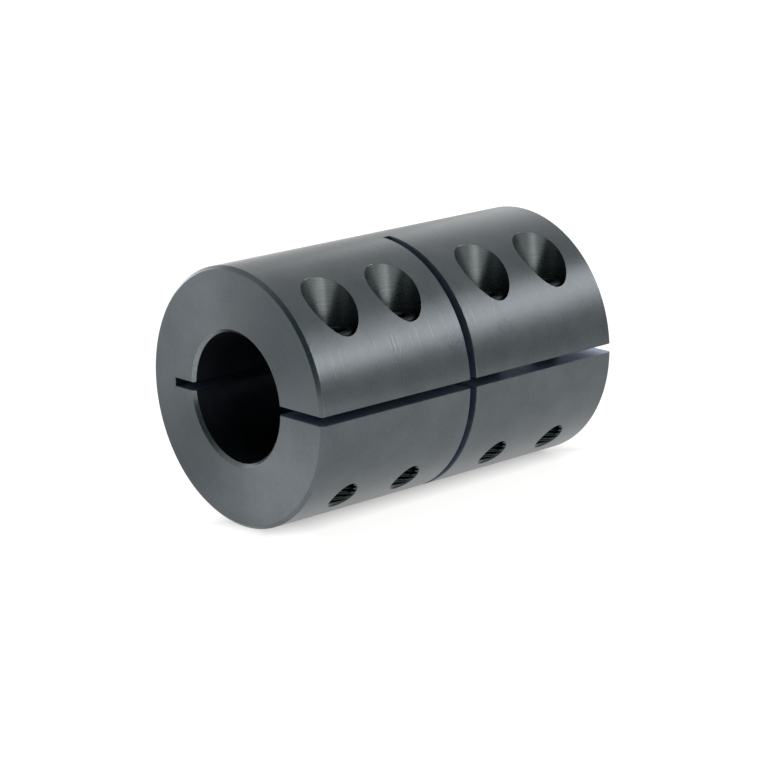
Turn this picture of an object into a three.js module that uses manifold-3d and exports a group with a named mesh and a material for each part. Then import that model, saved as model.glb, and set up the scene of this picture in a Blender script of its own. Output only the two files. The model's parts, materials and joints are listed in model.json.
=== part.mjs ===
// One-piece rigid clamping coupling for two 3/4 inch shafts: a black oxide steel sleeve, slit along
// one side and cut half through at mid-length, closed on the shafts by four socket head cap screws.
// Millimetres. The bore runs along Y, the screws along Z with their heads towards +Z, and the slit
// side is +X. The origin is on the bore axis at mid-length.
import * as THREE from "three";
import { mergeVertices } from "three/addons/utils/BufferGeometryUtils.js";
import Module from "manifold-3d";

// Sleeve
const OUTER_RADIUS = 19.05;
const SLEEVE_LENGTH = 57.15;
const BORE_RADIUS = 9.525;
const OUTER_CHAMFER = 0.51;
const BORE_CHAMFER = 0.51;
const SLEEVE_SEGMENTS = 128;

// Saw cuts. The slit and the relief slot opposite it are one plane through the bore axis.
const CUT_WIDTH = 1.27;
const SLIT_TURN = THREE.MathUtils.degToRad(2.87); // from square to the screws
const RELIEF_DEPTH = 13.9; // from the bore axis to the end of the relief slot
const CROSS_CUT_FLOOR = 1.9; // X at which the cut at mid-length ends

// Screws: number 8, 32 threads to the inch, half an inch long under the head
const SCREW_X = 12.65;
const SCREW_INNER_Y = 8.74;
const SCREW_OUTER_Y = 20.55;
const SEAT_Z = 5.75;
const SHANK_RADIUS = 2.083;
const SHANK_LENGTH = 12.7;
const SHANK_TIP_CHAMFER = 0.55;
const HEAD_RADIUS = 3.43;
const HEAD_HEIGHT = 4.166;
const HEAD_CHAMFER = 0.25;
const SOCKET_ACROSS_FLATS = 3.57;
const SOCKET_DEPTH = 2.0;
const SOCKET_CONE_DEPTH = 0.6;
const SCREW_SEGMENTS = 48;

// Holes for the screws
const COUNTERBORE_RADIUS = 3.9;
const CLEARANCE_RADIUS = 2.25;
const TAPPED_RADIUS = 2.16;
const HOLE_SEGMENTS = 48;

const OVERRUN = 2; // how far a cutter runs past the face it cuts

const wasm = await Module();
wasm.setup();

// A closed geometry as a solid.
function solidFrom(geometry) {
  geometry.deleteAttribute("normal");
  geometry.deleteAttribute("uv");
  const merged = mergeVertices(geometry, 1e-4);
  const mesh = new wasm.Mesh({
    numProp: 3,
    vertProperties: merged.attributes.position.array,
    triVerts: new Uint32Array(merged.index.array),
  });
  return new wasm.Manifold(mesh);
}

// A solid as a flat-shaded mesh with a name.
function meshFrom(solid, name, material) {
  const { vertProperties, triVerts } = solid.getMesh();
  const indexed = new THREE.BufferGeometry();
  indexed.setAttribute("position", new THREE.BufferAttribute(vertProperties, 3));
  indexed.setIndex(new THREE.BufferAttribute(triVerts, 1));
  const geometry = indexed.toNonIndexed();
  geometry.computeVertexNormals();
  const mesh = new THREE.Mesh(geometry, material);
  mesh.name = name;
  return mesh;
}

// A solid turned from a profile of [radius, height] points about the Y axis.
function turned(profile, segments) {
  const points = profile.map(([radius, height]) => new THREE.Vector2(radius, height));
  return new THREE.LatheGeometry(points, segments);
}

// A round or six-sided cutter along Z between two heights.
function uprightCutter(radius, segments, x, y, lowZ, highZ) {
  const geometry = new THREE.CylinderGeometry(radius, radius, highZ - lowZ, segments);
  geometry.rotateX(Math.PI / 2);
  geometry.translate(x, y, (lowZ + highZ) / 2);
  return solidFrom(geometry);
}

function boxCutter(size, centre, turn = 0) {
  const geometry = new THREE.BoxGeometry(...size);
  geometry.translate(...centre);
  geometry.rotateY(turn);
  return solidFrom(geometry);
}

function blankSleeve() {
  const end = SLEEVE_LENGTH / 2;
  const profile = [
    [BORE_RADIUS, -end + BORE_CHAMFER],
    [BORE_RADIUS + BORE_CHAMFER, -end],
    [OUTER_RADIUS - OUTER_CHAMFER, -end],
    [OUTER_RADIUS, -end + OUTER_CHAMFER],
    [OUTER_RADIUS, end - OUTER_CHAMFER],
    [OUTER_RADIUS - OUTER_CHAMFER, end],
    [BORE_RADIUS + BORE_CHAMFER, end],
    [BORE_RADIUS, end - BORE_CHAMFER],
    [BORE_RADIUS, -end + BORE_CHAMFER],
  ];
  return solidFrom(turned(profile, SLEEVE_SEGMENTS));
}

// The slit to the outside and the relief slot that stops inside the wall, in one saw cut.
function slitCutter() {
  const reach = OUTER_RADIUS + OVERRUN;
  const size = [reach + RELIEF_DEPTH, SLEEVE_LENGTH + 2 * OVERRUN, CUT_WIDTH];
  return boxCutter(size, [(reach - RELIEF_DEPTH) / 2, 0, 0], SLIT_TURN);
}

// The cut at mid-length, which lets each end close on its own shaft.
function crossCutter() {
  const reach = OUTER_RADIUS + OVERRUN;
  const size = [reach - CROSS_CUT_FLOOR, CUT_WIDTH, 2 * reach];
  return boxCutter(size, [(reach + CROSS_CUT_FLOOR) / 2, 0, 0]);
}

// Counterbore, clearance hole down to the slit, and tapped hole out through the lower jaw.
function screwHoleCutter(y) {
  const slitZ = -SCREW_X * Math.tan(SLIT_TURN);
  const top = OUTER_RADIUS + OVERRUN;
  const head = uprightCutter(COUNTERBORE_RADIUS, HOLE_SEGMENTS, SCREW_X, y, SEAT_Z, top);
  const clearance = uprightCutter(CLEARANCE_RADIUS, HOLE_SEGMENTS, SCREW_X, y, slitZ, top);
  const tapped = uprightCutter(TAPPED_RADIUS, HOLE_SEGMENTS, SCREW_X, y, -top, slitZ + CUT_WIDTH / 4);
  return head.add(clearance).add(tapped);
}

function couplingBody(material) {
  let solid = blankSleeve().subtract(slitCutter()).subtract(crossCutter());
  for (const y of [-SCREW_OUTER_Y, -SCREW_INNER_Y, SCREW_INNER_Y, SCREW_OUTER_Y]) {
    solid = solid.subtract(screwHoleCutter(y));
  }
  return meshFrom(solid, "coupling_body", material);
}

// A socket head cap screw with its seat at the origin and its head towards +Z.
function screwSolid() {
  const profile = [
    [0, -SHANK_LENGTH],
    [SHANK_RADIUS - SHANK_TIP_CHAMFER, -SHANK_LENGTH],
    [SHANK_RADIUS, -SHANK_LENGTH + SHANK_TIP_CHAMFER],
    [SHANK_RADIUS, 0],
    [HEAD_RADIUS, 0],
    [HEAD_RADIUS, HEAD_HEIGHT - HEAD_CHAMFER],
    [HEAD_RADIUS - HEAD_CHAMFER, HEAD_HEIGHT],
    [0, HEAD_HEIGHT],
  ];
  const blank = turned(profile, SCREW_SEGMENTS);
  blank.rotateX(Math.PI / 2);
  const cornerRadius = SOCKET_ACROSS_FLATS / Math.sqrt(3);
  const floor = HEAD_HEIGHT - SOCKET_DEPTH;
  const hexagon = uprightCutter(cornerRadius, 6, 0, 0, floor, HEAD_HEIGHT + OVERRUN);
  const cone = new THREE.ConeGeometry(SOCKET_ACROSS_FLATS / 2, SOCKET_CONE_DEPTH, SCREW_SEGMENTS);
  cone.rotateX(-Math.PI / 2);
  cone.translate(0, 0, floor - SOCKET_CONE_DEPTH / 2);
  return solidFrom(blank).subtract(hexagon).subtract(solidFrom(cone));
}

function clampScrew(name, y, material) {
  const mesh = meshFrom(screwSolid(), name, material);
  mesh.position.set(SCREW_X, y, SEAT_Z);
  return mesh;
}

const sleeveSteel = new THREE.MeshStandardMaterial({
  color: 0x53595c,
  roughness: 0.45,
  metalness: 0.9,
});
const screwSteel = new THREE.MeshStandardMaterial({
  color: 0x24282a,
  roughness: 0.4,
  metalness: 0.9,
});

const coupling = new THREE.Group();
coupling.add(
  couplingBody(sleeveSteel),
  clampScrew("clamp_screw_front_outer", -SCREW_OUTER_Y, screwSteel),
  clampScrew("clamp_screw_front_inner", -SCREW_INNER_Y, screwSteel),
  clampScrew("clamp_screw_rear_inner", SCREW_INNER_Y, screwSteel),
  clampScrew("clamp_screw_rear_outer", SCREW_OUTER_Y, screwSteel),
);

export default coupling;
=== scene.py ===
import json
import math

import bmesh
import bpy
import numpy as np
from mathutils import Matrix, Vector


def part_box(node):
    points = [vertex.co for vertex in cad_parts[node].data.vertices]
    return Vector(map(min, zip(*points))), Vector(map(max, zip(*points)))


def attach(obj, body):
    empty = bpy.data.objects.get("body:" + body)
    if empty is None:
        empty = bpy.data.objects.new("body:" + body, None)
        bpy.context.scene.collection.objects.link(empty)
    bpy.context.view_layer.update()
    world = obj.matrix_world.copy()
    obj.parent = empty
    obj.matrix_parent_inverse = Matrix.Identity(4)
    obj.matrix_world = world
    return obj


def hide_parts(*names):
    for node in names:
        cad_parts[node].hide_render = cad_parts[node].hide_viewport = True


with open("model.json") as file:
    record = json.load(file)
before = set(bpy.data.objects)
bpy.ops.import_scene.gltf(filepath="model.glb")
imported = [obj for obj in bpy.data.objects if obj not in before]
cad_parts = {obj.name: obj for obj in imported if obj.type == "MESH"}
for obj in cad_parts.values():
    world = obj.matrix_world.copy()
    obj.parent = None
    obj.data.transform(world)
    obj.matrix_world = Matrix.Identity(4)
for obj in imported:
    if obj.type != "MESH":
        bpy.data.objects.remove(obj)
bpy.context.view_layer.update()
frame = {"record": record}

# Looks for a rigid clamping shaft coupling: a slit sleeve in black oxide steel and its four socket head
# cap screws, on a pale floor under soft studio light. Meshes are made in millimetres, in the CAD frame,
# and scaled to metres. The bore runs along Y and the screws along Z, heads up.
MM = 0.001

# ---------------------------------------------------------------- sizes from the frame, in mm
SLEEVE_NODE = "coupling_body"
SCREW_NODE = "clamp_screw_"  # followed by the name of the screw
SCREWS = ["front_outer", "front_inner", "rear_inner", "rear_outer"]


def node_box(node):
    """A node's lowest and highest corners at rest."""
    low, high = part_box(node)
    return low / MM, high / MM


_, sleeve_high = node_box(SLEEVE_NODE)
OUTER_RADIUS = sleeve_high.z
HALF_LENGTH = sleeve_high.y
BORE_RADIUS = next(m["dims"]["r_mm"] for m in frame["record"]["mounts"] if m["name"] == "shaft_bore")

first_low, first_high = node_box(SCREW_NODE + SCREWS[0])
SCREW_X = (first_low.x + first_high.x) / 2
SCREW_Y = {name: sum(corner.y for corner in node_box(SCREW_NODE + name)) / 2 for name in SCREWS}
HEAD_RADIUS = (first_high.x - first_low.x) / 2
HEAD_HEIGHT = 4.166
SEAT_Z = first_high.z - HEAD_HEIGHT
SHANK_LENGTH = SEAT_Z - first_low.z

# ---------------------------------------------------------------- sizes of the cuts, in mm
OUTER_CHAMFER = 0.51
BORE_CHAMFER = 0.51
CORNER_BEND = 0.05  # the small rounding of a turned corner
CUT_WIDTH = 1.27
SLIT_TURN = math.radians(2.87)  # from square to the screws
RELIEF_DEPTH = 13.9  # from the bore axis to the end of the relief slot
CROSS_CUT_FLOOR = 1.9  # X at which the cut at mid-length ends
COUNTERBORE_RADIUS = 3.9
CLEARANCE_RADIUS = 2.25
EDGE_BREAK = 0.09  # the small chamfer on every sawn edge
RIM_BREAK = 0.03  # the same where a counterbore meets the outside
MOUTH_BREAK = 0.05  # the same where a tapped hole does
MOUTH_DEPTH = 0.60  # how far its countersink reaches in, past the crests of the thread
OVERRUN = 2.0  # how far a cutter runs past the face it cuts

# The thread, 32 to the inch. The hole's form and the screw's share one helix, and the screw's is
# smaller all round.
PITCH = 25.4 / 32
THREAD_SLOPE = math.tan(math.radians(30))
HOLE_THREAD = {"outer": 2.15, "inner": 1.69}
SCREW_THREAD = {"outer": 2.083, "inner": 1.63}
OUTER_HALF_FLAT = 0.07
THREAD_TOP = -1.10  # height of the hole thread's last turn, inside the slit
TURNS_ABOVE = 9  # turns of a screw's thread above that height, past its neck
THREAD_END = 0.1  # how far the low cones on a threaded rod's ends stand out

# The screws. Heights are from the seat of the head.
NECK_RADIUS = 1.78
NECK_LOW = -1.0
THREAD_HIGH = -0.90
TIP_CHAMFER = 0.60
SOCKET_ACROSS_FLATS = 3.57
SOCKET_CORNER = SOCKET_ACROSS_FLATS / math.sqrt(3)
SOCKET_DEPTH = 2.0
DRILL_RADIUS = 1.6
DRILL_POINT_DEPTH = 0.55
SOCKET_ANGLES = dict(zip(SCREWS, (0.15, 0.62, 0.38, 0.90)))  # radians; where each screw stopped
KNURL_RIDGES = 60
KNURL_DEPTH = 0.07

# How finely round surfaces are divided, and a length that counts as nothing
SLEEVE_STEPS = 384
HOLE_STEPS = 96
CROSS_CUT_STEPS = 96
THREAD_STEPS = 48
STEPS_PER_RIDGE = 6
TINY_LENGTH = 0.001


# ---------------------------------------------------------------- mesh helpers
def make_object(name, vertices, faces):
    """A mesh object in the scene, with its normals facing out."""
    mesh = bpy.data.meshes.new(name)
    mesh.from_pydata([tuple(v) for v in vertices], [], faces)
    shape = bmesh.new()
    shape.from_mesh(mesh)
    bmesh.ops.recalc_face_normals(shape, faces=shape.faces)
    shape.to_mesh(mesh)
    shape.free()
    made = bpy.data.objects.new(name, mesh)
    bpy.context.scene.collection.objects.link(made)
    return made


def remove(piece):
    mesh = piece.data
    bpy.data.objects.remove(piece)
    bpy.data.meshes.remove(mesh)


def combine(piece, tool, operation):
    """Cuts, joins or intersects piece with tool, and removes tool."""
    modifier = piece.modifiers.new("combine", "BOOLEAN")
    modifier.operation = operation
    modifier.object = tool
    modifier.solver = "MANIFOLD"
    graph = bpy.context.evaluated_depsgraph_get()
    result = bpy.data.meshes.new_from_object(piece.evaluated_get(graph))
    piece.modifiers.clear()
    old = piece.data
    piece.data = result
    bpy.data.meshes.remove(old)
    remove(tool)


def close_tiny_edges(piece):
    """Closes up the edges of under a micrometre that cutting leaves."""
    shape = bmesh.new()
    shape.from_mesh(piece.data)
    bmesh.ops.dissolve_degenerate(shape, dist=TINY_LENGTH, edges=shape.edges)
    shape.to_mesh(piece.data)
    shape.free()


def turned(name, profile, steps, axis="Y", radius_at=None):
    """A solid of revolution. profile is (radius, height) points. One that starts and ends at radius 0
    has a flat or pointed end there, and any other is a closed ring. radius_at(radius, step) may vary
    the radius round the axis."""
    solid = profile[0][0] == 0
    rings = profile[1:-1] if solid else profile
    vertices = []
    for radius, height in rings:
        for step in range(steps):
            angle = 2 * math.pi * step / steps
            r = radius_at(radius, step) if radius_at else radius
            vertices.append((r * math.cos(angle), r * math.sin(angle), height))
    faces = []
    spans = len(rings) - 1 if solid else len(rings)
    for ring in range(spans):
        a, b = ring * steps, (ring + 1) % len(rings) * steps
        for step in range(steps):
            after = (step + 1) % steps
            faces.append((a + step, a + after, b + after, b + step))
    if solid:
        for (_, height), first in ((profile[0], 0), (profile[-1], (len(rings) - 1) * steps)):
            ring = tuple(range(first, first + steps))
            if height == vertices[first][2]:
                faces.append(ring)
            else:
                vertices.append((0, 0, height))
                faces += [(ring[i - 1], ring[i], len(vertices) - 1) for i in range(steps)]
    if axis == "Y":
        vertices = [(x, z, -y) for x, y, z in vertices]
    return make_object(name, vertices, faces)


def prism(name, outline, low, high, place):
    """A straight solid: outline is (a, b) points, and place(a, b, t) gives the point at t along it."""
    count = len(outline)
    vertices = [place(a, b, t) for t in (low, high) for a, b in outline]
    faces = [tuple(range(count)), tuple(range(count, 2 * count))]
    for i in range(count):
        after = (i + 1) % count
        faces.append((i, after, count + after, count + i))
    return make_object(name, vertices, faces)


def upright(a, b, t):
    """A place for prism: outlines in X and Y, heights along Z."""
    return (a, b, t)


def cylinder(name, radius, low, high, centre, steps):
    """An upright cylinder between two heights."""
    angles = [2 * math.pi * i / steps for i in range(steps)]
    circle = [(centre[0] + radius * math.cos(a), centre[1] + radius * math.sin(a)) for a in angles]
    return prism(name, circle, low, high, upright)


def closed_sweep(name, sections):
    """A ring-shaped solid through a closed loop of sections, each a list of points."""
    count, sides = len(sections), len(sections[0])
    vertices = [point for section in sections for point in section]
    faces = []
    for i in range(count):
        a, b = i * sides, (i + 1) % count * sides
        for j in range(sides):
            after = (j + 1) % sides
            faces.append((a + j, a + after, b + after, b + j))
    return make_object(name, vertices, faces)


def threaded_rod(name, form, low, turns):
    """A right-hand threaded rod about Z whose ends follow the helix and are closed by low cones. low is
    the height at which the first crest is centred at angle 0."""
    depth = form["outer"] - form["inner"]
    inner_half = OUTER_HALF_FLAT + depth * THREAD_SLOPE
    outline = [
        (-inner_half, form["inner"]),
        (-OUTER_HALF_FLAT, form["outer"]),
        (OUTER_HALF_FLAT, form["outer"]),
        (inner_half, form["inner"]),
    ]
    sides = len(outline)
    rows = turns * sides
    vertices, index = [], {}
    for column in range(THREAD_STEPS):
        angle = 2 * math.pi * column / THREAD_STEPS
        for row in range(rows + (sides if column == 0 else 0)):
            offset, radius = outline[row % sides]
            height = low + offset + PITCH * (row // sides + column / THREAD_STEPS)
            index[column, row] = len(vertices)
            vertices.append((radius * math.cos(angle), radius * math.sin(angle), height))
    for row in range(rows):
        index[THREAD_STEPS, row] = index[0, row + sides]
    faces = []
    for column in range(THREAD_STEPS):
        for row in range(rows - 1):
            corners = [(column, row), (column + 1, row), (column + 1, row + 1), (column, row + 1)]
            faces.append(tuple(index[c] for c in corners))
    columns = range(THREAD_STEPS)
    bottom = [index[c, 0] for c in columns] + [index[0, r] for r in range(sides, 0, -1)]
    top = [index[c, rows - 1] for c in columns]
    top += [index[0, r] for r in range(rows - 1 + sides, rows - 1, -1)]
    for loop, extreme, rise in ((bottom, min, -THREAD_END), (top, max, THREAD_END)):
        vertices.append((0, 0, extreme(vertices[i][2] for i in loop) + rise))
        for i, vertex in enumerate(loop):
            faces.append((vertex, loop[(i + 1) % len(loop)], len(vertices) - 1))
    return make_object(name, vertices, faces)


# ---------------------------------------------------------------- the sleeve
def rounded_corner(before, corner, after, steps=2):
    """Points of a small arc-like bend in place of a corner of a turned profile."""
    corner, before, after = Vector(corner), Vector(before), Vector(after)
    start = corner + (before - corner).normalized() * CORNER_BEND
    end = corner + (after - corner).normalized() * CORNER_BEND
    points = []
    for i in range(steps + 1):
        t = i / steps
        points.append(tuple((1 - t) ** 2 * start + 2 * t * (1 - t) * corner + t * t * end))
    return points


def blank_sleeve():
    """The turned sleeve, before it is sawn and drilled."""
    end = HALF_LENGTH
    corners = [
        (BORE_RADIUS, -end + BORE_CHAMFER),
        (BORE_RADIUS + BORE_CHAMFER, -end),
        (OUTER_RADIUS - OUTER_CHAMFER, -end),
        (OUTER_RADIUS, -end + OUTER_CHAMFER),
        (OUTER_RADIUS, end - OUTER_CHAMFER),
        (OUTER_RADIUS - OUTER_CHAMFER, end),
        (BORE_RADIUS + BORE_CHAMFER, end),
        (BORE_RADIUS, end - BORE_CHAMFER),
    ]
    profile = []
    for i, corner in enumerate(corners):
        profile += rounded_corner(corners[i - 1], corner, corners[(i + 1) % len(corners)])
    return turned("sleeve", profile, SLEEVE_STEPS)


def in_slit_plane(along, across, y):
    """A point given by its distance along the slit from the bore axis and across the slit's width."""
    c, s = math.cos(SLIT_TURN), math.sin(SLIT_TURN)
    return (c * along + s * across, y, -s * along + c * across)


def slit_cutter():
    """Slit and relief slot, wider by the edge break where they leave the bore and the outside."""
    half, e = CUT_WIDTH / 2, EDGE_BREAK
    bore_edge = math.sqrt(BORE_RADIUS**2 - half**2)
    outer_edge = math.sqrt(OUTER_RADIUS**2 - half**2)
    upper = [
        (-RELIEF_DEPTH, half),
        (-bore_edge - e, half),
        (-bore_edge + e, half + 2 * e),
        (bore_edge - e, half + 2 * e),
        (bore_edge + e, half),
        (outer_edge - e, half),
        (outer_edge + OVERRUN, half + e + OVERRUN),
    ]
    outline = upper + [(a, -b) for a, b in reversed(upper)]
    reach = HALF_LENGTH + OVERRUN
    return prism("slit", outline, -reach, reach, in_slit_plane)


def slit_end_cutter(side):
    """The edge break of the slit and the relief slot on one end face: a box whose sides flare."""
    levels = []
    for y, grow in ((HALF_LENGTH - EDGE_BREAK, 0.0), (HALF_LENGTH + OVERRUN, EDGE_BREAK + OVERRUN)):
        far, near = OUTER_RADIUS + OVERRUN, -RELIEF_DEPTH - grow
        wide = CUT_WIDTH / 2 + grow
        corners = [(near, -wide), (far, -wide), (far, wide), (near, wide)]
        levels += [in_slit_plane(a, b, side * y) for a, b in corners]
    faces = [(0, 1, 2, 3), (4, 5, 6, 7), (0, 1, 5, 4), (1, 2, 6, 5), (2, 3, 7, 6), (3, 0, 4, 7)]
    return make_object("slit_end", levels, faces)


def cross_cutter():
    """The cut at mid-length."""
    half, reach = CUT_WIDTH / 2, OUTER_RADIUS + OVERRUN
    outline = [(CROSS_CUT_FLOOR, -half), (reach, -half), (reach, half), (CROSS_CUT_FLOOR, half)]
    return prism("cross_cut", outline, -reach, reach, upright)


def cross_cut_edge_cutter(radius, outwards):
    """The edge break along both rims of the cut at mid-length, on the outside or in the bore."""
    beyond = OVERRUN / 2
    half, flared = CUT_WIDTH / 2, CUT_WIDTH / 2 + EDGE_BREAK + beyond
    deep, far = radius - outwards * EDGE_BREAK, radius + outwards * beyond
    section = [(deep, half), (far, flared), (far, -flared), (deep, -half)]
    sides = len(section)
    limit = math.acos((CROSS_CUT_FLOOR + EDGE_BREAK) / radius)
    vertices = []
    for i in range(CROSS_CUT_STEPS + 1):
        angle = limit * (2 * i / CROSS_CUT_STEPS - 1)
        vertices += [(r * math.cos(angle), y, r * math.sin(angle)) for r, y in section]
    faces = [tuple(range(sides)), tuple(sides * CROSS_CUT_STEPS + j for j in range(sides))]
    for i in range(CROSS_CUT_STEPS):
        a, b = sides * i, sides * (i + 1)
        for j in range(sides):
            after = (j + 1) % sides
            faces.append((a + j, a + after, b + after, b + j))
    return make_object("cross_cut_edge", vertices, faces)


def rim_cutter(y, radius, side, depth, inward):
    """The edge break where a screw hole meets the outside of the sleeve, above (side 1) or below (-1).
    depth is how far it reaches along the outside and down from it, and inward how far into the hole."""
    def on_outside(out, distance):
        point = Vector((SCREW_X, y, 0)) + distance * out
        point.z = side * math.sqrt(OUTER_RADIUS**2 - point.x**2)
        return point

    into = Vector((0, 0, -side))
    sections = []
    for i in range(2 * HOLE_STEPS):
        angle = math.pi * i / HOLE_STEPS
        out = Vector((math.cos(angle), math.sin(angle), 0))
        rim, inner = on_outside(out, radius), on_outside(out, radius - inward)
        normal = Vector((rim.x, 0, rim.z)).normalized()
        along = (out - out.dot(normal) * normal).normalized()
        sections.append([
            rim + depth * along,
            rim + depth * (along + normal),
            inner + depth * normal,
            inner + inward * into,
            rim + depth * into,
        ])
    return closed_sweep("rim", sections)


def screw_hole_cutters(y):
    """Counterbore, clearance hole down to the slit and tapped hole below it, with the edge breaks at the
    mouths of the first and the last."""
    centre = (SCREW_X, y)
    slit_z = -SCREW_X * math.tan(SLIT_TURN)
    top = OUTER_RADIUS + OVERRUN
    yield cylinder("counterbore", COUNTERBORE_RADIUS, SEAT_Z, top, centre, HOLE_STEPS)
    yield cylinder("clearance", CLEARANCE_RADIUS, slit_z, top, centre, HOLE_STEPS)
    yield rim_cutter(y, COUNTERBORE_RADIUS, 1, RIM_BREAK, RIM_BREAK)
    turns = math.ceil((THREAD_TOP + OUTER_RADIUS) / PITCH)
    thread = threaded_rod("tapped", HOLE_THREAD, THREAD_TOP - turns * PITCH, turns)
    thread.data.transform(Matrix.Translation((SCREW_X, y, 0)))
    yield thread
    yield rim_cutter(y, HOLE_THREAD["outer"], -1, MOUTH_BREAK, MOUTH_DEPTH)


def sleeve():
    piece = blank_sleeve()
    cutters = [slit_cutter(), slit_end_cutter(-1), slit_end_cutter(1), cross_cutter()]
    cutters += [cross_cut_edge_cutter(OUTER_RADIUS, 1), cross_cut_edge_cutter(BORE_RADIUS, -1)]
    for y in SCREW_Y.values():
        cutters += screw_hole_cutters(y)
    for cutter in cutters:
        combine(piece, cutter, "DIFFERENCE")
    close_tiny_edges(piece)
    return piece


# ---------------------------------------------------------------- the screws, seat at the origin
def head_blank():
    """Neck, bearing face and knurled head."""
    def knurled(radius, step):
        if radius < HEAD_RADIUS:
            return radius
        phase = step % STEPS_PER_RIDGE / STEPS_PER_RIDGE
        return radius - KNURL_DEPTH * abs(2 * phase - 1)

    bearing = 0.005  # just clear of the seat in the sleeve
    top = HEAD_HEIGHT - 0.006  # just inside the CAD box
    neck = [(0, NECK_LOW), (NECK_RADIUS, NECK_LOW), (NECK_RADIUS, -0.36), (1.83, -0.16), (2.05, bearing)]
    lower_edge = [(3.16, bearing), (3.28, 0.05), (3.345, 0.16)]
    knurl = [(HEAD_RADIUS, 0.30), (HEAD_RADIUS, 3.50)]
    upper_edge = [(3.35, 3.62), (3.33, 3.80), (3.26, 3.98), (3.13, 4.10), (2.98, top), (0, top)]
    profile = neck + lower_edge + knurl + upper_edge
    return turned("head", profile, KNURL_RIDGES * STEPS_PER_RIDGE, "Z", knurled)


def socket_cutter(angle):
    """Hexagon socket: a prism, the countersink at its mouth and the drill point under its floor."""
    floor = HEAD_HEIGHT - SOCKET_DEPTH
    corners = [angle + math.pi / 3 * i for i in range(6)]
    outline = [(SOCKET_CORNER * math.cos(a), SOCKET_CORNER * math.sin(a)) for a in corners]
    hexagon = prism("socket", outline, floor, HEAD_HEIGHT + OVERRUN, upright)
    overlap = 0.1
    point = [
        (0, floor - DRILL_POINT_DEPTH),
        (DRILL_RADIUS, floor + 0.02),
        (DRILL_RADIUS, floor + overlap),
        (0, floor + overlap),
    ]
    mouth = [
        (0, HEAD_HEIGHT - 0.6),
        (1.62, HEAD_HEIGHT - 0.5),
        (2.30, HEAD_HEIGHT + overlap),
        (0, HEAD_HEIGHT + overlap),
    ]
    combine(hexagon, turned("point", point, HOLE_STEPS, "Z"), "UNION")
    combine(hexagon, turned("mouth", mouth, HOLE_STEPS, "Z"), "UNION")
    return hexagon


def clamp_screw(name, socket_angle):
    """A threaded rod trimmed to a chamfered tip and a neck, with the head joined on."""
    turns_below = math.ceil((SHANK_LENGTH + THREAD_TOP - SEAT_Z) / PITCH) + 1
    low = THREAD_TOP - SEAT_Z - turns_below * PITCH
    piece = threaded_rod(name, SCREW_THREAD, low, turns_below + TURNS_ABOVE)
    tip, beyond_crest = -SHANK_LENGTH, SCREW_THREAD["outer"] + 0.1
    envelope = [
        (0, tip + 0.01),
        (1.44, tip + 0.01),
        (1.52, tip + 0.05),
        (beyond_crest, tip + TIP_CHAMFER),
        (beyond_crest, THREAD_HIGH - 0.30),
        (NECK_RADIUS, THREAD_HIGH),
        (0, THREAD_HIGH),
    ]
    combine(piece, turned("envelope", envelope, HOLE_STEPS, "Z"), "INTERSECT")
    combine(piece, head_blank(), "UNION")
    combine(piece, socket_cutter(socket_angle), "DIFFERENCE")
    close_tiny_edges(piece)
    return piece


# ---------------------------------------------------------------- shading of round surfaces
NEAR = 0.01  # mm within which a face lies on a surface
ALONG = 0.999  # least cosine between a normal and the axis it runs along
ON_AXIS = 0.03  # greatest sine between a turned face's normal and the plane through the bore axis
CHAMFER_SLOPE = (0.3, 0.95)  # limits of the cosine between a chamfer's normal and the bore axis
WALL_SLOPE = 0.01  # greatest cosine between an upright wall's normal and Z


def mesh_arrays(mesh):
    """A mesh's points, the point at each face corner, and each face's count of corners and normal."""
    points = np.empty(3 * len(mesh.vertices))
    mesh.vertices.foreach_get("co", points)
    loop_vertex = np.empty(len(mesh.loops), int)
    mesh.loops.foreach_get("vertex_index", loop_vertex)
    sizes = np.empty(len(mesh.polygons), int)
    mesh.polygons.foreach_get("loop_total", sizes)
    normals = np.empty(3 * len(mesh.polygons))
    mesh.polygons.foreach_get("normal", normals)
    return points.reshape(-1, 3), loop_vertex, sizes, normals.reshape(-1, 3)


class Faces:
    """The faces of a mesh as arrays, and the normals that their corners are to be shaded with."""

    def __init__(self, mesh):
        points, loop_vertex, self.sizes, self.normal = mesh_arrays(mesh)
        self.starts = np.concatenate([[0], np.cumsum(self.sizes)[:-1]])
        self.corner = points[loop_vertex]
        self.centre = np.add.reduceat(self.corner, self.starts) / self.sizes[:, None]
        self.shading = np.repeat(self.normal, self.sizes, axis=0)
        self.done = np.zeros(len(self.sizes), bool)

    def reach(self, values):
        """Lowest and highest of a number per corner, in each face."""
        return np.minimum.reduceat(values, self.starts), np.maximum.reduceat(values, self.starts)

    def bend(self, chosen, across, up, centre):
        """Turns the chosen faces' normals about an axis, so that they follow the true round surface.
        across and up are the indices of the coordinates square to the axis. Corners on the axis itself
        keep the normal of their face."""
        side, height = self.corner[:, across] - centre[0], self.corner[:, up] - centre[1]
        angle = np.arctan2(height, side)
        middle = np.arctan2(self.centre[:, up] - centre[1], self.centre[:, across] - centre[0])
        turn = angle - np.repeat(middle, self.sizes)
        turn *= np.repeat(chosen & ~self.done, self.sizes)
        turn *= np.hypot(height, side) > TINY_LENGTH
        a, b = self.shading[:, across].copy(), self.shading[:, up].copy()
        self.shading[:, across] = a * np.cos(turn) - b * np.sin(turn)
        self.shading[:, up] = a * np.sin(turn) + b * np.cos(turn)
        self.done |= chosen


def finish_mesh(piece, faces, materials, finish=None):
    """Scales a piece from millimetres to metres, and gives its corners their shading normals and its
    faces their materials. finish has the index of each face's material."""
    mesh = piece.data
    mesh.materials.clear()
    for material in materials:
        mesh.materials.append(material)
    if finish is not None:
        mesh.polygons.foreach_set("material_index", finish)
    mesh.transform(Matrix.Scale(MM, 4))
    mesh.shade_smooth()
    mesh.normals_split_custom_set(faces.shading.tolist())


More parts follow.
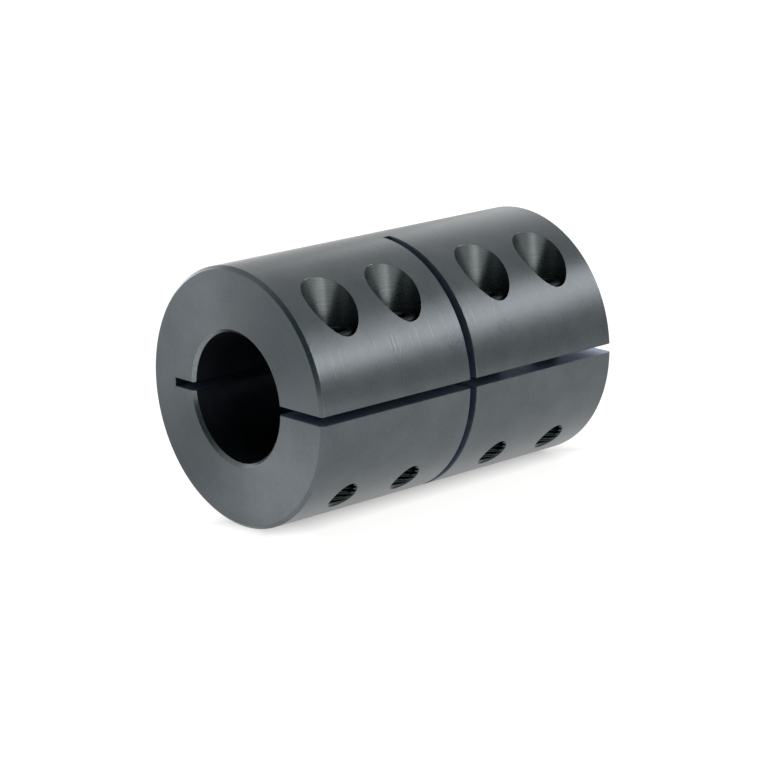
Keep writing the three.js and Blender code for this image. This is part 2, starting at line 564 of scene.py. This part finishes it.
def shade_sleeve(piece, materials):
    """Round shading, and a finish for each face: materials has them in the order of their numbers."""
    faces = Faces(piece.data)
    nearest, farthest = faces.reach(np.hypot(faces.corner[:, 0], faces.corner[:, 2]))
    outside = nearest > OUTER_RADIUS - OUTER_CHAMFER - NEAR
    inside = farthest < BORE_RADIUS + BORE_CHAMFER + NEAR
    round_out = faces.centre[:, [0, 2]] / np.hypot(faces.centre[:, 0], faces.centre[:, 2])[:, None]
    sideways = faces.normal[:, 0] * round_out[:, 1] - faces.normal[:, 2] * round_out[:, 0]
    on_axis = abs(sideways) < ON_AXIS
    faces.bend((outside | inside) & on_axis, 0, 2, (0, 0))

    slope = abs(faces.normal[:, 1])
    from_middle = abs(faces.centre[:, 1])
    finish = np.full(len(faces.sizes), TURNED, np.int32)
    finish[(slope > ALONG) & (from_middle > HALF_LENGTH - NEAR)] = FACED
    # The bore gets a finish with painted shade in its colour.
    finish[(farthest < BORE_RADIUS + NEAR) & on_axis] = REAMED_PAINTED_SHADE
    # The bore chamfers get a finish that is partly wear and partly a painted highlight.
    finish[inside & on_axis & (slope > CHAMFER_SLOPE[0]) & (slope < CHAMFER_SLOPE[1])] = RUBBED_AND_HIGHLIGHT

    slit_normal = np.array(in_slit_plane(0, 1, 0))
    in_slit = abs(faces.centre @ slit_normal) < CUT_WIDTH
    level = in_slit & (abs(faces.normal @ slit_normal) > ALONG)
    # The slit and the cut at mid-length get a finish with painted light in its colour.
    finish[level] = SAWN_PAINTED_LIGHT
    finish[(slope > ALONG) & (from_middle < CUT_WIDTH)] = SAWN_PAINTED_LIGHT

    for y in SCREW_Y.values():
        distance = np.hypot(faces.corner[:, 0] - SCREW_X, faces.corner[:, 1] - y)
        _, farthest = faces.reach(distance)
        in_hole = (farthest < COUNTERBORE_RADIUS + 1.5 * EDGE_BREAK) & ~level
        faces.bend(in_hole, 0, 1, (SCREW_X, y))
        # The screw holes' walls get a finish with painted light in its colour.
        finish[in_hole & ~(outside & on_axis)] = BORED_PAINTED_LIGHT
        in_mouth = (farthest < HOLE_THREAD["outer"] + 4 * MOUTH_BREAK) & ~level
        # The tapped hole's mouth gets a finish with painted shade in its colour.
        finish[in_mouth & (faces.centre[:, 2] < THREAD_TOP + PITCH)] = TAPPED_PAINTED_SHADE
    finish_mesh(piece, faces, materials, finish)


def shade_screw(piece, material):
    """Round shading all over a screw but for the flat walls of its socket."""
    faces = Faces(piece.data)
    lowest, _ = faces.reach(faces.corner[:, 2])
    _, farthest = faces.reach(np.hypot(faces.corner[:, 0], faces.corner[:, 1]))
    socket_low = HEAD_HEIGHT - SOCKET_DEPTH - DRILL_POINT_DEPTH
    in_socket = (farthest < SOCKET_CORNER + NEAR) & (lowest > socket_low)
    is_wall = abs(faces.normal[:, 2]) < WALL_SLOPE
    faces.bend(~(is_wall & in_socket), 0, 1, (0, 0))
    finish_mesh(piece, faces, [material])


# ---------------------------------------------------------------- materials
# The sleeve has a finish for each way in which it is cut; some of their colours also hold painted light or
# shade, as noted at each. axis is the one that the tool marks run round, dark and light are the oxide's
# colours, and worn is that of its edges where the oxide has worn off. mark_depth is in mm. The other names
# are explained in black_oxide.
SLEEVE_FINISHES_AND_PAINTED_LIGHT = {
    "turned": dict(
        axis="Y", dark=(0.088, 0.101, 0.108), light=(0.108, 0.123, 0.131), worn=(0.24, 0.25, 0.255),
        roughness=0.30, mark_depth=0.0005, wear_amount=0.6, brushed=0.4,
    ),
    "faced": dict(
        axis="Y", dark=(0.109, 0.124, 0.134), light=(0.133, 0.150, 0.160), worn=(0.24, 0.25, 0.255),
        roughness=0.45, mark_depth=0.0005, wear_amount=0.6, brushed=0.85,
    ),
    # Painted shade: the bore's oxide is darker and bluer than the outside's, for the shade inside the
    # bore.
    "reamed": dict(
        axis="Y", dark=(0.040, 0.045, 0.058), light=(0.056, 0.063, 0.080), worn=(0.14, 0.15, 0.16),
        roughness=0.40, mark_depth=0.0005, wear_amount=0.3, brushed=0.3,
    ),
    # Painted light: the screw holes' oxide is lighter than the outside's, brightening the shade on their
    # walls.
    "bored": dict(
        axis="Z", dark=(0.108, 0.122, 0.123), light=(0.135, 0.152, 0.153), worn=(0.17, 0.18, 0.18),
        roughness=0.28, mark_depth=0.0002, wear_amount=0.1, brushed=0.5, centred=False, metallic=0.85,
    ),
    # Painted light: the oxide in the slit and the cuts is far lighter and bluer than the outside's,
    # lighting their shade with a blue cast.
    "sawn": dict(
        axis="Y", dark=(0.238, 0.292, 0.378), light=(0.283, 0.337, 0.430), worn=(0.34, 0.37, 0.40),
        roughness=0.48, mark_depth=0.0020, wear_amount=0.5, brushed=0.0,
    ),
    # Partly wear where shafts rub and partly a painted highlight: the bore chamfers' oxide is lighter than
    # the bore's.
    "rubbed": dict(
        axis="Y", dark=(0.098, 0.109, 0.116), light=(0.150, 0.161, 0.168), worn=(0.30, 0.31, 0.31),
        roughness=0.28, mark_depth=0.0005, wear_amount=0.5, brushed=0.3,
    ),
    # Painted shade: the tapped hole's oxide is nearly black, for the shade in the hole and at its mouth.
    "tapped": dict(
        axis="Z", dark=(0.030, 0.042, 0.041), light=(0.044, 0.058, 0.057), worn=(0.08, 0.10, 0.10),
        roughness=0.40, mark_depth=0.0005, wear_amount=0.0, brushed=0.0, centred=False,
    ),
}
TURNED, FACED, REAMED_PAINTED_SHADE, BORED_PAINTED_LIGHT, SAWN_PAINTED_LIGHT, RUBBED_AND_HIGHLIGHT, TAPPED_PAINTED_SHADE = range(len(SLEEVE_FINISHES_AND_PAINTED_LIGHT))

SCREW_FINISH = dict(
    axis="Z", dark=(0.016, 0.019, 0.020), light=(0.030, 0.035, 0.037), worn=(0.10, 0.10, 0.10),
    roughness=0.36, mark_depth=0.0008, wear_amount=0.2, brushed=0.2,
)


class Graph:
    """A material's or world's node tree, with short calls for the nodes used here."""

    def __init__(self, owner):
        owner.use_nodes = True
        self.tree = owner.node_tree
        self.tree.nodes.clear()

    def node(self, kind, inputs=None, **settings):
        made = self.tree.nodes.new(kind)
        for name, value in settings.items():
            setattr(made, name, value)
        for name, value in (inputs or {}).items():
            if isinstance(value, bpy.types.NodeSocket):
                self.tree.links.new(value, made.inputs[name])
            else:
                made.inputs[name].default_value = value
        return made

    def math(self, operation, a, b=0.0):
        return self.node("ShaderNodeMath", {0: a, 1: b}, operation=operation).outputs[0]

    def vector_math(self, operation, a, b):
        """A number from two vectors, such as their DISTANCE or DOT_PRODUCT."""
        made = self.node("ShaderNodeVectorMath", {0: a, 1: b}, operation=operation)
        return made.outputs["Value"]

    def noise(self, vector, scale, detail):
        inputs = {"Vector": vector, "Scale": scale, "Detail": detail}
        return self.node("ShaderNodeTexNoise", inputs).outputs["Fac"]

    def lines(self, position, scale, detail):
        """Noise along one coordinate: parallel tool marks."""
        inputs = {"W": position, "Scale": scale, "Detail": detail}
        made = self.node("ShaderNodeTexNoise", inputs, noise_dimensions="1D")
        return made.outputs["Fac"]

    def remap(self, value, source, target):
        """value carried from the range source to the range target, and held at its ends."""
        inputs = {"Value": value, 1: source[0], 2: source[1], 3: target[0], 4: target[1]}
        return self.node("ShaderNodeMapRange", inputs).outputs["Result"]

    def blend(self, factor, first, second):
        """A colour between two, each a socket or red, green and blue."""
        ends = [c if isinstance(c, bpy.types.NodeSocket) else (*c, 1) for c in (first, second)]
        inputs = {"Factor": factor, 6: ends[0], 7: ends[1]}
        made = self.node("ShaderNodeMix", inputs, data_type="RGBA")
        return made.outputs[2]


def millimetre_coordinates(graph, axis):
    """The piece's own coordinates in mm, the height along its Y or Z axis and the distance from it."""
    place = graph.node("ShaderNodeTexCoord").outputs["Object"]
    scaled = graph.node("ShaderNodeVectorMath", {0: place, 3: 1 / MM}, operation="SCALE").outputs[0]
    parts = graph.node("ShaderNodeSeparateXYZ", {0: scaled}).outputs
    across = parts["Z"] if axis == "Y" else parts["Y"]
    squares = graph.math("ADD", graph.math("POWER", parts["X"], 2.0), graph.math("POWER", across, 2.0))
    return scaled, parts[axis], graph.math("SQRT", squares)


def edge_mask(graph, radius):
    """How far a point is on a sharp edge, from 0 to 1."""
    bevel = graph.node("ShaderNodeBevel", {"Radius": radius * MM}, samples=8).outputs["Normal"]
    flat = graph.node("ShaderNodeNewGeometry").outputs["Normal"]
    return graph.remap(graph.vector_math("DOT_PRODUCT", bevel, flat), (0.995, 0.93), (0.0, 1.0))


def black_oxide(name, axis, dark, light, worn, roughness, mark_depth, wear_amount, brushed,
                centred=True, metallic=1.0):
    """Blackened steel: mottled oxide over tool marks, worn to brighter metal on the edges. The marks run
    round an axis, which is the piece's own or, where centred is false, one beside it. brushed is how
    much the gloss is drawn out across them, and metallic is less where the oxide is thick and dull."""
    material = bpy.data.materials.new(name)
    graph = Graph(material)
    place, along, radius = millimetre_coordinates(graph, axis)
    cloud = graph.noise(place, scale=0.22, detail=4.0)
    speck = graph.noise(place, scale=2.4, detail=3.0)
    grain = graph.noise(place, scale=11.0, detail=2.0)
    across_marks = graph.math("ADD", along, radius) if centred else along
    marks = graph.lines(across_marks, scale=2.6, detail=3.0)

    mottle = graph.math("ADD", graph.math("MULTIPLY", cloud, 0.6), graph.math("MULTIPLY", speck, 0.4))
    colour = graph.blend(graph.remap(mottle, (0.36, 0.64), (0.0, 1.0)), dark, light)
    chipped = graph.remap(speck, (0.30, 0.62), (0.15, 1.0))
    wear = graph.math("MULTIPLY", edge_mask(graph, 0.05), chipped)
    colour = graph.blend(graph.math("MULTIPLY", wear, wear_amount), colour, worn)

    uneven = graph.math("ADD", graph.math("MULTIPLY", mottle, 0.5), graph.math("MULTIPLY", marks, 0.5))
    rough = graph.remap(uneven, (0.3, 0.7), (roughness - 0.05, roughness + 0.05))
    rough = graph.math("SUBTRACT", rough, graph.math("MULTIPLY", wear, 0.05))

    height = graph.math("ADD", marks, graph.math("MULTIPLY", grain, 0.35))
    bump = graph.node("ShaderNodeBump", {"Height": height, "Strength": 1.0, "Distance": mark_depth * MM})
    tangent = graph.node("ShaderNodeTangent", direction_type="RADIAL", axis=axis)
    surface = graph.node("ShaderNodeBsdfPrincipled", {
        "Base Color": colour,
        "Metallic": metallic,
        "Roughness": rough,
        "Anisotropic": brushed,
        "Anisotropic Rotation": 0.25,
        "Normal": bump.outputs["Normal"],
        "Tangent": tangent.outputs[0],
    })
    graph.node("ShaderNodeOutputMaterial", {"Surface": surface.outputs[0]})
    return material


# ---------------------------------------------------------------- the studio, in metres
GROUND = -OUTER_RADIUS * MM
FLOOR_REACH = 6.0

# The floor's glow, with painted pools of light, painted shade and a painted shadow, and the distances
# over which each part of it fades
TABLE_GLOW = 0.89
# Painted shadow: the floor's glow drops where the part rests.
CONTACT_PAINTED_SHADOW = 0.36  # where the part rests
CONTACT_FADE = (0.002, 0.010)  # from the line on which it rests
CONTACT_END = 0.024  # Y at which that line ends
# Painted pool of light on the floor to the right of the part.
SPOT_PAINTED_LIGHT = 1.9
SPOT_CENTRE = (0.163, -0.024, GROUND)
SPOT_FADE = (0.038, 0.086)
# Painted pool of light on the floor in front of the part.
FRONT_PAINTED_LIGHT = 0.7
FRONT_CENTRE = (0.0, -0.052, GROUND)
FRONT_FADE = (0.008, 0.030)
# Painted shade on the floor far off to the back right.
FAR_PAINTED_SHADE = 0.50
FAR_DIRECTION = (0.766, 0.643, 0)
FAR_FADE = (0.07, 0.19)

# The room's walls, and how much brighter or dimmer they are toward some directions. Each has the
# cosines between which it fades in.
WALL_LEVEL = 0.76
OPENING = {"direction": (0.55, -0.78, 0.32), "fade": (0.30, 0.85)}
OPENING_DIMMING = 0.58
OPENING_TINT = (0.72, 1.0, 1.0)
BACK_WALL = {"direction": (-0.70, 0.68, 0.22), "fade": (0.75, 1.0), "amount": 0.15}
WINDOW = {"direction": (-1.0, -0.04, 0.0), "fade": (0.78, 0.97), "amount": 1.7}
DOORWAY = {"direction": (-0.90, 0.43, -0.03), "fade": (0.96, 0.995), "amount": 1.0}
DIM_CORNER = {"direction": (0.36, 0.93, 0.03), "fade": (0.89, 0.985), "amount": 0.60}

WARM = (1.0, 0.945, 0.945)
SOFTBOXES = {
    "strip_box": dict(
        direction=(0.390, 0.398, 0.261), long_axis=(-0.633, 0.584, 0.508), distance=0.61,
        size=(0.50, 0.035), radiance=14.2, colour=WARM,
    ),
    "side_box": dict(
        direction=(0.90, -0.28, 0.22), long_axis=(0, 0, 1), distance=0.45,
        size=(0.26, 0.12), radiance=2.2, colour=WARM,
    ),
    "rear_box": dict(
        direction=(-0.130, 0.225, 0.115), long_axis=(0.87, 0.5, 0), distance=0.28,
        size=(0.15, 0.14), radiance=0.45, colour=(1, 1, 1),
    ),
}

# The camera: degrees round from the front, up and rolled, distance from the origin, how far its aim is
# beside the origin, and the lens in mm
VIEW_AZIMUTH, VIEW_ELEVATION, VIEW_ROLL = 49.21, 12.49, -3.625
VIEW_DISTANCE = 0.39815
AIM_RIGHT, AIM_UP = -0.00080, -0.00276
SENSOR_WIDTH = 36.0
FOCAL_LENGTH = 127.1
CLIP = (0.01, 50.0)


def floor_glow(graph, place):
    """Painted pools of light to the right of the part and in front of it, painted shade far off and a
    painted shadow where the part rests, over the floor's even glow.
    """
    spot = graph.remap(graph.vector_math("DISTANCE", place, SPOT_CENTRE), SPOT_FADE, (SPOT_PAINTED_LIGHT, 0.0))
    front = graph.remap(graph.vector_math("DISTANCE", place, FRONT_CENTRE), FRONT_FADE, (FRONT_PAINTED_LIGHT, 0.0))
    far = graph.remap(graph.vector_math("DOT_PRODUCT", place, FAR_DIRECTION), FAR_FADE, (0.0, FAR_PAINTED_SHADE))
    uneven = graph.math("SUBTRACT", graph.math("ADD", spot, front), far)
    parts = graph.node("ShaderNodeSeparateXYZ", {0: place}).outputs
    beyond_ends = graph.math("SUBTRACT", graph.math("ABSOLUTE", parts["Y"]), CONTACT_END)
    from_contact = graph.math("MAXIMUM", graph.math("ABSOLUTE", parts["X"]), beyond_ends)
    return graph.math("ADD", uneven, graph.remap(from_contact, CONTACT_FADE, (CONTACT_PAINTED_SHADOW, TABLE_GLOW)))


def floor_paint():
    """Pale, slightly warm paper on a light table, seen from above only. Its glow holds painted pools of
    light, painted shade and a painted shadow.
    """
    material = bpy.data.materials.new("floor_paper")
    graph = Graph(material)
    place = graph.node("ShaderNodeTexCoord").outputs["Object"]
    grain = graph.noise(place, scale=900.0, detail=3.0)
    paper = graph.node("ShaderNodeBsdfPrincipled", {
        "Base Color": graph.blend(grain, (0.30, 0.295, 0.29), (0.34, 0.335, 0.33)),
        "Roughness": 1.0,
        "Specular IOR Level": 0.0,
        "Emission Color": (1.0, 0.995, 0.99, 1),
        "Emission Strength": floor_glow(graph, place),
    })
    clear = graph.node("ShaderNodeBsdfTransparent")
    below = graph.node("ShaderNodeNewGeometry").outputs["Backfacing"]
    one_sided = graph.node("ShaderNodeMixShader", {0: below, 1: paper.outputs[0], 2: clear.outputs[0]})
    graph.node("ShaderNodeOutputMaterial", {"Surface": one_sided.outputs[0]})
    return material


def floor():
    r = FLOOR_REACH
    corners = [(-r, -r, GROUND), (r, -r, GROUND), (r, r, GROUND), (-r, r, GROUND)]
    made = make_object("studio_floor", corners, [(0, 1, 2, 3)])
    if made.data.polygons[0].normal.z < 0:
        made.data.flip_normals()
    made.data.materials.append(floor_paint())


def softbox(name, direction, long_axis, distance, size, radiance, colour):
    """A rectangular lamp at distance metres in direction from the origin, facing it. size is its length
    along long_axis and its width, in metres."""
    lamp = bpy.data.lights.new(name, "AREA")
    lamp.shape = "RECTANGLE"
    lamp.size, lamp.size_y = size
    lamp.energy = radiance * math.pi * size[0] * size[1]
    lamp.color = colour
    made = bpy.data.objects.new(name, lamp)
    back = Vector(direction).normalized()
    along = Vector(long_axis)
    along = (along - along.dot(back) * back).normalized()
    turn = Matrix((along, back.cross(along), back)).transposed().to_4x4()
    made.matrix_world = Matrix.Translation(distance * back) @ turn
    bpy.context.scene.collection.objects.link(made)


def toward(graph, direction, fade, amount=1.0):
    """amount toward a direction, and nothing where the cosine to it is below the range fade."""
    looking = graph.node("ShaderNodeTexCoord").outputs["Generated"]
    near = graph.vector_math("DOT_PRODUCT", looking, Vector(direction).normalized())
    return graph.remap(near, fade, (0.0, amount))


def white_room():
    """Pale walls: bright by the window and the doorway on the left, and dim on the front right, where
    the room is open, and in one corner behind."""
    world = bpy.data.worlds.new("white_room")
    graph = Graph(world)
    opening = toward(graph, **OPENING)
    level = graph.math("ADD", toward(graph, **BACK_WALL), toward(graph, **WINDOW))
    level = graph.math("ADD", level, toward(graph, **DOORWAY))
    level = graph.math("ADD", level, WALL_LEVEL)
    level = graph.math("SUBTRACT", level, graph.math("MULTIPLY", opening, OPENING_DIMMING))
    level = graph.math("SUBTRACT", level, toward(graph, **DIM_CORNER))
    colour = graph.blend(opening, (1, 1, 1), OPENING_TINT)
    walls = graph.node("ShaderNodeBackground", {"Color": colour, "Strength": level})
    graph.node("ShaderNodeOutputWorld", {"Surface": walls.outputs[0]})
    bpy.context.scene.world = world


def studio():
    white_room()
    floor()
    for name, lamp in SOFTBOXES.items():
        softbox(name, **lamp)


def camera():
    """The view from the front right and a little above, with a long lens."""
    azimuth, elevation, roll = (math.radians(a) for a in (VIEW_AZIMUTH, VIEW_ELEVATION, VIEW_ROLL))
    back = Vector((
        math.sin(azimuth) * math.cos(elevation),
        -math.cos(azimuth) * math.cos(elevation),
        math.sin(elevation),
    ))
    level = Vector((math.cos(azimuth), math.sin(azimuth), 0))
    plumb = back.cross(level)
    right = math.cos(roll) * level + math.sin(roll) * plumb
    up = math.cos(roll) * plumb - math.sin(roll) * level
    lens = bpy.data.cameras.new("camera")
    lens.sensor_width = SENSOR_WIDTH
    lens.lens = FOCAL_LENGTH
    lens.clip_start, lens.clip_end = CLIP
    made = bpy.data.objects.new("camera", lens)
    place = AIM_RIGHT * right + AIM_UP * up + VIEW_DISTANCE * back
    made.matrix_world = Matrix.Translation(place) @ Matrix((right, up, back)).transposed().to_4x4()
    bpy.context.scene.collection.objects.link(made)
    bpy.context.scene.camera = made


# ---------------------------------------------------------------- putting it together
def place_sleeve():
    piece = sleeve()
    piece.name = "sleeve_surface"
    shade_sleeve(piece, [black_oxide("sleeve_" + name, **look) for name, look in SLEEVE_FINISHES_AND_PAINTED_LIGHT.items()])
    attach(piece, "sleeve")
    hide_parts(SLEEVE_NODE)


def place_screws():
    oxide = black_oxide("screw_black_oxide", **SCREW_FINISH)
    for name in SCREWS:
        piece = clamp_screw(f"{SCREW_NODE}{name}_surface", SOCKET_ANGLES[name])
        shade_screw(piece, oxide)
        piece.location = (SCREW_X * MM, SCREW_Y[name] * MM, SEAT_Z * MM)
        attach(piece, "screw_" + name)
        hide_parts(SCREW_NODE + name)


place_sleeve()
place_screws()
studio()
camera()
bpy.context.scene.view_settings.view_transform = "Standard"

bpy.context.view_layer.update()
